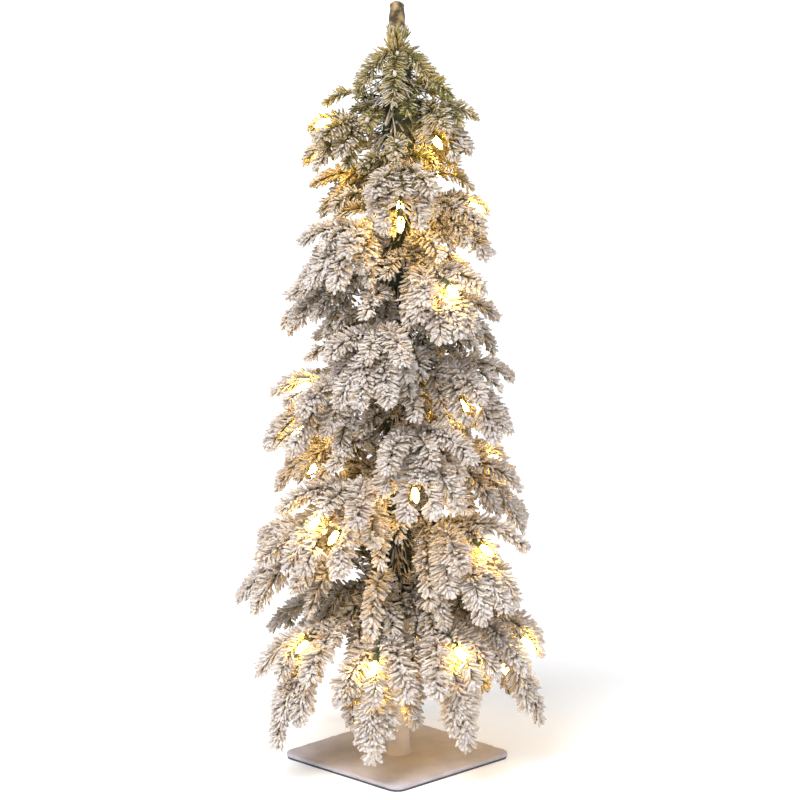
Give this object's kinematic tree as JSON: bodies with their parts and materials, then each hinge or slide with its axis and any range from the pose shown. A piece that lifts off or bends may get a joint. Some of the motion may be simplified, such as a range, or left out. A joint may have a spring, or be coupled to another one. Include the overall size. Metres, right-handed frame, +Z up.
{
  "type": "artificial tabletop tree",
  "caption": "Flocked artificial tabletop tree with drooping bendable branches and a string of warm lamps, on a steel pole and a square base plate.",
  "frame": {"origin": "on the floor, at the middle of the pad under the square base plate", "axes": "+Z up along the pole; X and Y along the plate's edges; the display side faces the plate's corner at +X -Y"},
  "size_m": [0.2256, 0.2274, 0.6096],
  "materials": {
    "flocked_needles": "matte",
    "green_needles": "matte",
    "light_string": "satin",
    "flocked_plate": "matte",
    "flocked_pole": "matte",
    "pad_foam": "matte",
    "zinc_screw": "satin",
    "black_plastic": "satin",
    "stem_tape": "matte"
  },
  "bodies": {
    "stand": {"base_plate": "flocked_plate", "base_pad": "pad_foam", "base_screw": "zinc_screw", "pole_plug": "black_plastic", "pole": "flocked_pole", "leader_socket": "black_plastic", "trunk_wrap": "stem_tape", "light_string_trunk": "light_string"},
    "branch_01": {"branch_01": "flocked_needles", "light_lead_01": "light_string"},
    "branch_02": {"branch_02": "flocked_needles", "light_lead_02": "light_string"},
    "branch_03": {"branch_03": "flocked_needles", "light_lead_03": "light_string"},
    "branch_04": {"branch_04": "flocked_needles", "light_lead_04": "light_string"},
    "branch_05": {"branch_05": "flocked_needles"},
    "branch_06": {"branch_06": "flocked_needles", "light_lead_06": "light_string"},
    "branch_07": {"branch_07": "flocked_needles"},
    "branch_08": {"branch_08": "flocked_needles"},
    "branch_09": {"branch_09": "flocked_needles", "light_lead_09": "light_string"},
    "branch_10": {"branch_10": "flocked_needles"},
    "branch_11": {"branch_11": "flocked_needles", "light_lead_11": "light_string"},
    "branch_12": {"branch_12": "flocked_needles", "light_lead_12": "light_string"},
    "branch_13": {"branch_13": "flocked_needles", "light_lead_13": "light_string"},
    "branch_14": {"branch_14": "flocked_needles", "light_lead_14": "light_string"},
    "branch_15": {"branch_15": "flocked_needles", "light_lead_15": "light_string"},
    "branch_16": {"branch_16": "flocked_needles", "light_lead_16": "light_string"},
    "branch_17": {"branch_17": "flocked_needles", "light_lead_17": "light_string"},
    "branch_18": {"branch_18": "flocked_needles", "light_lead_18": "light_string"},
    "branch_19": {"branch_19": "flocked_needles"},
    "branch_20": {"branch_20": "flocked_needles"},
    "branch_21": {"branch_21": "flocked_needles"},
    "branch_22": {"branch_22": "flocked_needles", "light_lead_22": "light_string"},
    "branch_23": {"branch_23": "flocked_needles", "light_lead_23": "light_string"},
    "branch_24": {"branch_24": "flocked_needles"},
    "branch_25": {"branch_25": "flocked_needles", "light_lead_25": "light_string"},
    "branch_26": {"branch_26": "flocked_needles"},
    "branch_27": {"branch_27": "flocked_needles", "light_lead_27": "light_string"},
    "branch_28": {"branch_28": "flocked_needles", "light_lead_28": "light_string"},
    "branch_29": {"branch_29": "flocked_needles", "light_lead_29": "light_string"},
    "branch_30": {"branch_30": "flocked_needles", "light_lead_30": "light_string"},
    "leader": {"leader": "green_needles"}
  },
  "joints": [
    {"name": "branch_01_bend", "type": "hinge", "parent": "stand", "child": "branch_01", "pos_m": [-0.002, -0.01132, 0.13056], "axis": [-0.9848, 0.1736, 0], "range_deg": [-15, 14]},
    {"name": "branch_02_bend", "type": "hinge", "parent": "stand", "child": "branch_02", "pos_m": [0.00626, -0.00965, 0.13013], "axis": [-0.8387, -0.5446, 0], "range_deg": [-15, 14]},
    {"name": "branch_03_bend", "type": "hinge", "parent": "stand", "child": "branch_03", "pos_m": [0.01129, -0.00219, 0.13332], "axis": [-0.1908, -0.9816, 0], "range_deg": [-15, 14]},
    {"name": "branch_04_bend", "type": "hinge", "parent": "stand", "child": "branch_04", "pos_m": [0.00986, 0.00592, 0.13498], "axis": [0.515, -0.8572, 0], "range_deg": [-15, 14]},
    {"name": "branch_05_bend", "type": "hinge", "parent": "stand", "child": "branch_05", "pos_m": [0.0018, 0.01136, 0.13162], "axis": [0.9877, -0.1564, 0], "range_deg": [-15, 14]},
    {"name": "branch_06_bend", "type": "hinge", "parent": "stand", "child": "branch_06", "pos_m": [-0.00784, 0.00841, 0.12762], "axis": [0.7314, 0.682, 0], "range_deg": [-15, 14]},
    {"name": "branch_07_bend", "type": "hinge", "parent": "stand", "child": "branch_07", "pos_m": [-0.01146, -0.001, 0.13362], "axis": [-0.0872, 0.9962, 0], "range_deg": [-15, 14]},
    {"name": "branch_08_bend", "type": "hinge", "parent": "stand", "child": "branch_08", "pos_m": [-0.00813, -0.00813, 0.18669], "axis": [-0.7071, 0.7071, 0], "range_deg": [-15, 14]},
    {"name": "branch_09_bend", "type": "hinge", "parent": "stand", "child": "branch_09", "pos_m": [0.01149, 0.0005, 0.20265], "axis": [0.0438, -0.999, 0], "range_deg": [-15, 14]},
    {"name": "branch_10_bend", "type": "hinge", "parent": "stand", "child": "branch_10", "pos_m": [-0.00881, 0.00739, 0.21861], "axis": [0.6426, 0.7662, 0], "range_deg": [-15, 14]},
    {"name": "branch_11_bend", "type": "hinge", "parent": "stand", "child": "branch_11", "pos_m": [0.00151, -0.0114, 0.23457], "axis": [-0.9914, -0.1309, 0], "range_deg": [-15, 14]},
    {"name": "branch_12_bend", "type": "hinge", "parent": "stand", "child": "branch_12", "pos_m": [0.00659, 0.00942, 0.25053], "axis": [0.8195, -0.5731, 0], "range_deg": [-15, 14]},
    {"name": "branch_13_bend", "type": "hinge", "parent": "stand", "child": "branch_13", "pos_m": [-0.01123, -0.0025, 0.26649], "axis": [-0.2171, 0.9761, 0], "range_deg": [-15, 14]},
    {"name": "branch_14_bend", "type": "hinge", "parent": "stand", "child": "branch_14", "pos_m": [0.00996, -0.00574, 0.28245], "axis": [-0.4993, -0.8664, 0], "range_deg": [-15, 14]},
    {"name": "branch_15_bend", "type": "hinge", "parent": "stand", "child": "branch_15", "pos_m": [-0.00347, 0.01096, 0.29841], "axis": [0.9534, 0.3016, 0], "range_deg": [-15, 14]},
    {"name": "branch_16_bend", "type": "hinge", "parent": "stand", "child": "branch_16", "pos_m": [-0.00485, -0.01043, 0.31437], "axis": [-0.9068, 0.4216, 0], "range_deg": [-15, 14]},
    {"name": "branch_17_bend", "type": "hinge", "parent": "stand", "child": "branch_17", "pos_m": [0.01062, 0.00441, 0.33033], "axis": [0.3838, -0.9234, 0], "range_deg": [-15, 14]},
    {"name": "branch_18_bend", "type": "hinge", "parent": "stand", "child": "branch_18", "pos_m": [-0.01081, 0.00392, 0.34629], "axis": [0.3407, 0.9402, 0], "range_deg": [-15, 14]},
    {"name": "branch_19_bend", "type": "hinge", "parent": "stand", "child": "branch_19", "pos_m": [0.00533, -0.01019, 0.36225], "axis": [-0.8863, -0.4631, 0], "range_deg": [-15, 14]},
    {"name": "branch_20_bend", "type": "hinge", "parent": "stand", "child": "branch_20", "pos_m": [0.00296, 0.01111, 0.37821], "axis": [0.9664, -0.2572, 0], "range_deg": [-15, 14]},
    {"name": "branch_21_bend", "type": "hinge", "parent": "stand", "child": "branch_21", "pos_m": [-0.00969, -0.0062, 0.39416], "axis": [-0.5388, 0.8424, 0], "range_deg": [-15, 14]},
    {"name": "branch_22_bend", "type": "hinge", "parent": "stand", "child": "branch_22", "pos_m": [0.01133, -0.00198, 0.41013], "axis": [-0.1717, -0.9851, 0], "range_deg": [-15, 14]},
    {"name": "branch_23_bend", "type": "hinge", "parent": "stand", "child": "branch_23", "pos_m": [-0.00702, 0.00911, 0.42608], "axis": [0.7921, 0.6104, 0], "range_deg": [-15, 14]},
    {"name": "branch_24_bend", "type": "hinge", "parent": "stand", "child": "branch_24", "pos_m": [-0.00098, -0.01146, 0.44204], "axis": [-0.9964, 0.0849, 0], "range_deg": [-15, 14]},
    {"name": "branch_25_bend", "type": "hinge", "parent": "stand", "child": "branch_25", "pos_m": [0.00846, 0.00779, 0.458], "axis": [0.6773, -0.7357, 0], "range_deg": [-15, 14]},
    {"name": "branch_26_bend", "type": "hinge", "parent": "stand", "child": "branch_26", "pos_m": [-0.0115, -0.00003, 0.47396], "axis": [-0.0025, 1, 0], "range_deg": [-15, 14]},
    {"name": "branch_27_bend", "type": "hinge", "parent": "stand", "child": "branch_27", "pos_m": [0.0085, -0.00775, 0.48992], "axis": [-0.6736, -0.7391, 0], "range_deg": [-15, 14]},
    {"name": "branch_28_bend", "type": "hinge", "parent": "stand", "child": "branch_28", "pos_m": [-0.00103, 0.01145, 0.50588], "axis": [0.9959, 0.0899, 0], "range_deg": [-15, 14]},
    {"name": "branch_29_bend", "type": "hinge", "parent": "stand", "child": "branch_29", "pos_m": [-0.00697, -0.00914, 0.52184], "axis": [-0.7951, 0.6064, 0], "range_deg": [-15, 14]},
    {"name": "branch_30_bend", "type": "hinge", "parent": "stand", "child": "branch_30", "pos_m": [0.01132, 0.00203, 0.5378], "axis": [0.1767, -0.9843, 0], "range_deg": [-15, 14]},
    {"name": "leader_bend", "type": "hinge", "parent": "stand", "child": "leader", "pos_m": [0, 0, 0.5576], "axis": [-0.7071, -0.7071, 0], "range_deg": [-10, 10]}
  ]
}
